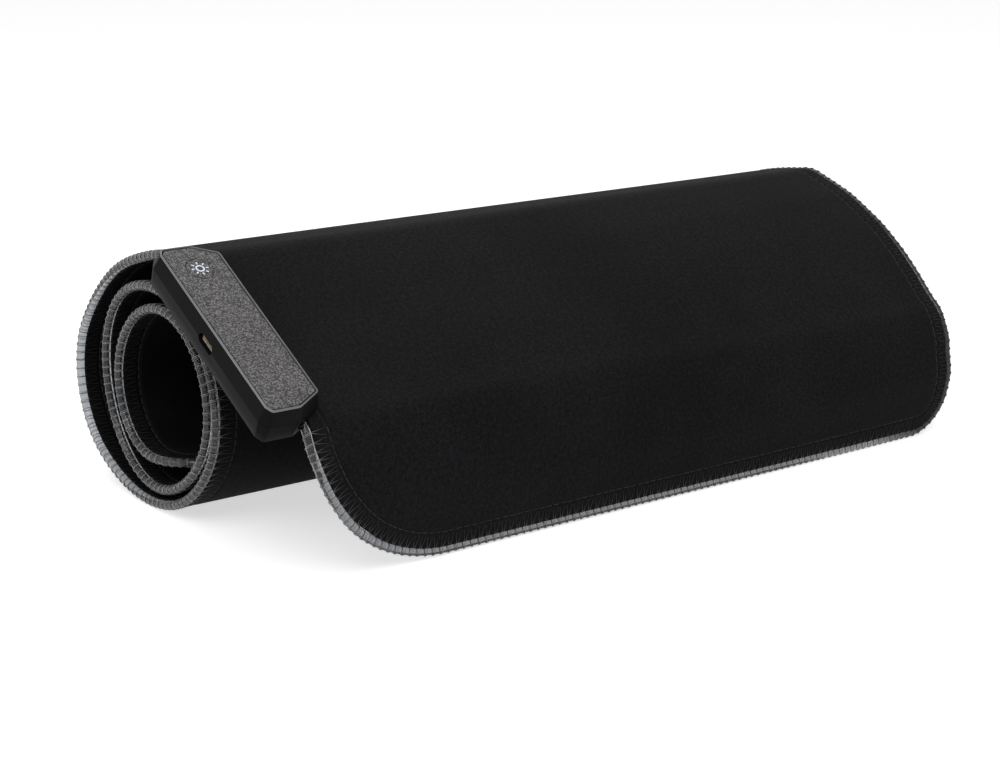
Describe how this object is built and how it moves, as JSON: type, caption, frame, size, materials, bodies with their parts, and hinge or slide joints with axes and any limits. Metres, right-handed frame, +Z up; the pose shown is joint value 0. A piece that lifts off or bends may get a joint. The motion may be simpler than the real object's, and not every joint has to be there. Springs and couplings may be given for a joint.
{
  "type": "edge-lit desk mat",
  "caption": "Soft rubber-backed cloth desk mat, loosely rolled with one flap open, with a clear light guide stitched round its edge and a clamped controller box with a push button.",
  "frame": {"origin": "middle of the footprint, at the floor under the roll", "axes": "+X along the roll, from the controller's edge to the far edge; the loose flap opens towards -Y; +Z up"},
  "size_m": [0.3185, 0.1688, 0.1025],
  "materials": {
    "woven_cloth": "micro-woven polyester, matt with a soft sheen",
    "rubber": "matt natural rubber, fine texture",
    "clear_silicone": "clear silicone, glossy",
    "thread": "grey and clear overlock thread",
    "black_abs": "fine-grained moulded plastic",
    "dark_abs": "fine-grained moulded plastic, a shade lighter",
    "bright_trim": "polished bevel",
    "textured_plate": "coarse sparkling leather-like grain",
    "white_print": "bright white print",
    "switch_black": "moulded plastic",
    "switch_tan": "moulded plastic",
    "board_green": "solder mask",
    "passive_tan": "ceramic",
    "nickel": "nickel-plated steel",
    "gold": "gold flash",
    "led_white": "clear resin over white",
    "holder_white": "moulded plastic",
    "steel": "zinc-plated steel"
  },
  "bodies": {
    "mat": {"cloth_top": "woven_cloth", "rubber_base": "rubber", "light_guide": "clear_silicone", "edge_stitching": "thread", "flap_stitching": "thread", "needle_seam": "thread", "upper_housing": "black_abs", "lower_housing": "dark_abs", "bezel": "bright_trim", "top_plate": "textured_plate", "tact_switch": "switch_black", "circuit_board": "board_green", "controller_chip": "switch_black", "passives": "passive_tan", "usb_shell": "nickel", "usb_tongue": "switch_black", "usb_contacts": "gold", "led_rear": "led_white", "led_front": "led_white", "led_board_rear": "board_green", "led_board_front": "board_green", "ferrule_rear": "holder_white", "ferrule_front": "holder_white", "clamp_strip": "rubber", "base_pad": "rubber", "screw_1": "steel", "screw_2": "steel", "screw_3": "steel", "screw_4": "steel"},
    "button": {"mode_button": "textured_plate", "button_symbol": "white_print", "switch_plunger": "switch_tan"}
  },
  "joints": [
    {"name": "button_press", "type": "slide", "parent": "mat", "child": "button", "axis": [0, 0.5075, -0.8616], "range_m": [0, 0.0006], "stiffness_N_per_m": 2500, "springref_m": -0.0002}
  ]
}
